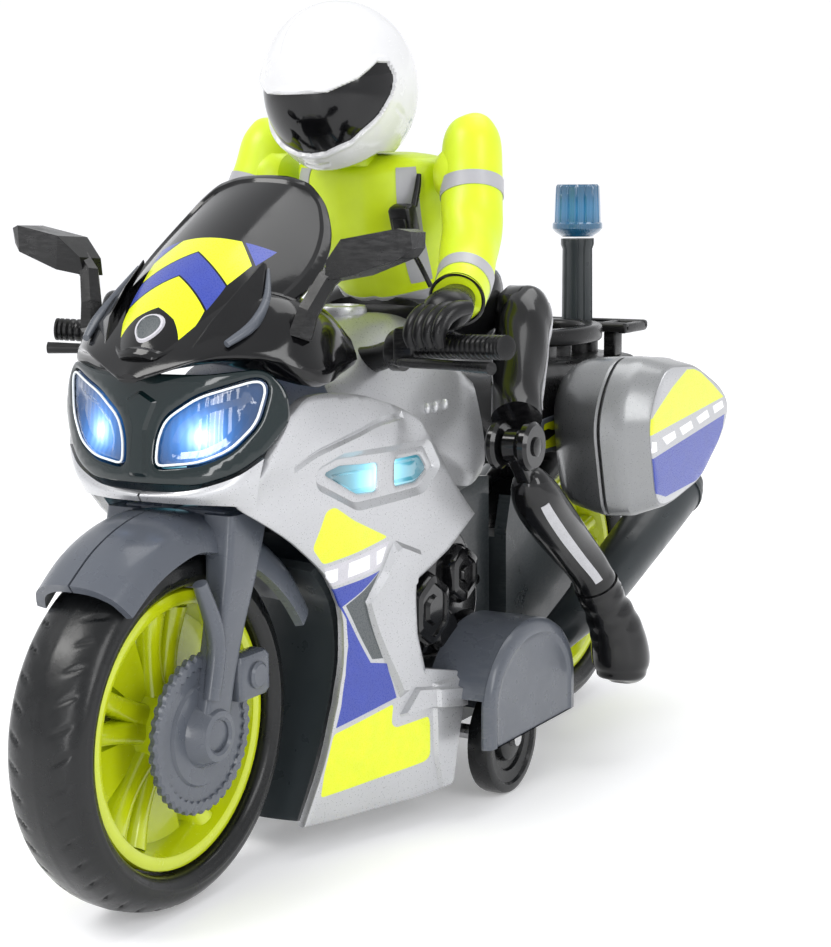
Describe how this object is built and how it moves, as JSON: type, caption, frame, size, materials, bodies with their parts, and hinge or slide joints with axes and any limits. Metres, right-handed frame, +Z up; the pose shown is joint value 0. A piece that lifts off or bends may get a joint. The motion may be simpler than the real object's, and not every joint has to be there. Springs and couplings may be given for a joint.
{
  "type": "toy motorcycle",
  "caption": "Free-wheel toy police motorcycle with stabiliser wheels, lamps, panniers, beacon pole and an articulated rider that lifts off.",
  "frame": {"origin": "middle of the ground patch under the toy: bottom centre of its box", "axes": "+X to the bike's left side, -Y forwards, +Z up"},
  "size_m": [0.0794, 0.1704, 0.1246],
  "materials": {
    "tyre": "semi-gloss vinyl",
    "lime_plastic": "gloss",
    "steel": "plated",
    "grey_plastic": "satin",
    "dark_grey_plastic": "satin",
    "circuit_green": "satin",
    "black_plastic": "satin",
    "gloss_black": "high gloss",
    "smoke_plastic": "high gloss",
    "blue_lens": "clear gloss",
    "pale_blue_lens": "clear gloss",
    "silver_paint": "metallic satin",
    "hi_vis": "satin",
    "white_plastic": "gloss"
  },
  "bodies": {
    "motorcycle": {"chassis": "dark_grey_plastic", "battery_cell_1": "steel", "battery_cell_2": "steel", "battery_cover": "dark_grey_plastic", "battery_screw": "steel", "circuit_board": "circuit_green", "speaker": "black_plastic", "wheel_shroud": "dark_grey_plastic", "engine_cover_left": "gloss_black", "engine_cover_right": "gloss_black", "wheel_guard_left": "grey_plastic", "wheel_guard_right": "grey_plastic", "silencer_left": "dark_grey_plastic", "silencer_right": "dark_grey_plastic", "swing_arm": "dark_grey_plastic", "rear_axle": "steel", "nose_mask": "smoke_plastic", "headlight_left": "blue_lens", "headlight_right": "blue_lens", "headlight_lamp": "blue_lens", "fairing_left": "silver_paint", "fairing_right": "silver_paint", "side_light_left": "pale_blue_lens", "side_light_right": "pale_blue_lens", "tank_cover": "silver_paint", "handlebar": "black_plastic", "cowl": "gloss_black", "windscreen": "gloss_black", "mirror_left": "black_plastic", "mirror_right": "black_plastic", "seat": "black_plastic", "carrier": "black_plastic", "beacon_pole": "dark_grey_plastic", "beacon_lens": "blue_lens", "beacon_lamp": "blue_lens", "pannier_body_left": "silver_paint", "pannier_body_right": "silver_paint", "pannier_lid_left": "silver_paint", "pannier_lid_right": "silver_paint"},
    "fork": {"fork_left": "grey_plastic", "fork_right": "grey_plastic", "front_axle": "steel"},
    "front_wheel": {"front_tyre": "tyre", "front_rim": "lime_plastic"},
    "rear_wheel": {"rear_tyre": "tyre", "rear_rim": "lime_plastic"},
    "stabiliser_wheels": {"stabiliser_axle": "steel", "stabiliser_wheel_left": "tyre", "stabiliser_wheel_right": "tyre"},
    "push_button": {"push_button": "gloss_black"},
    "rider": {"rider_torso": "hi_vis", "rider_belt": "black_plastic"},
    "head": {"helmet": "white_plastic", "visor": "gloss_black"},
    "left_arm": {"arm_left": "hi_vis"},
    "right_arm": {"arm_right": "hi_vis"},
    "left_thigh": {"thigh_left": "gloss_black"},
    "right_thigh": {"thigh_right": "gloss_black"},
    "left_shin": {"shin_left": "gloss_black"},
    "right_shin": {"shin_right": "gloss_black"}
  },
  "joints": [
    {"name": "fork_steer", "type": "hinge", "parent": "motorcycle", "child": "fork", "pos_m": [0, -0.06015, 0.025], "axis": [0, 0.2841, 0.9588], "range_deg": [-10, 10]},
    {"name": "front_wheel_spin", "type": "hinge", "parent": "fork", "child": "front_wheel", "pos_m": [0, -0.06015, 0.025], "axis": [1, 0, 0], "continuous": true},
    {"name": "rear_wheel_spin", "type": "hinge", "parent": "motorcycle", "child": "rear_wheel", "pos_m": [0, 0.06015, 0.025], "axis": [1, 0, 0], "continuous": true},
    {"name": "stabiliser_spin", "type": "hinge", "parent": "motorcycle", "child": "stabiliser_wheels", "pos_m": [0, 0.00685, 0.009], "axis": [1, 0, 0], "continuous": true},
    {"name": "button_press", "type": "slide", "parent": "motorcycle", "child": "push_button", "axis": [0, 0, -1], "range_m": [0, 0.0012], "stiffness_N_per_m": 150},
    {"name": "rider_lift", "type": "slide", "parent": "motorcycle", "child": "rider", "axis": [0, -0.342, 0.9397], "range_m": [0, 0.07]},
    {"name": "neck_turn", "type": "hinge", "parent": "rider", "child": "head", "pos_m": [0, -0.00565, 0.101], "axis": [0, 0, 1], "range_deg": [-35, 35]},
    {"name": "shoulder_left", "type": "hinge", "parent": "rider", "child": "left_arm", "pos_m": [0.018, -0.00315, 0.0986], "axis": [1, 0, 0], "range_deg": [-14, 0]},
    {"name": "shoulder_right", "type": "hinge", "parent": "rider", "child": "right_arm", "pos_m": [-0.018, -0.00315, 0.0986], "axis": [1, 0, 0], "range_deg": [-14, 0]},
    {"name": "hip_left", "type": "hinge", "parent": "rider", "child": "left_thigh", "pos_m": [0.015, 0.01885, 0.0765], "axis": [1, 0, 0], "range_deg": [-4, 3]},
    {"name": "hip_right", "type": "hinge", "parent": "rider", "child": "right_thigh", "pos_m": [-0.015, 0.01885, 0.0765], "axis": [1, 0, 0], "range_deg": [-4, 3]},
    {"name": "knee_left", "type": "hinge", "parent": "left_thigh", "child": "left_shin", "pos_m": [0.0241, 0.00035, 0.0575], "axis": [1, 0, 0], "range_deg": [-2, 5]},
    {"name": "knee_right", "type": "hinge", "parent": "right_thigh", "child": "right_shin", "pos_m": [-0.0241, 0.00035, 0.0575], "axis": [1, 0, 0], "range_deg": [-2, 5]}
  ]
}
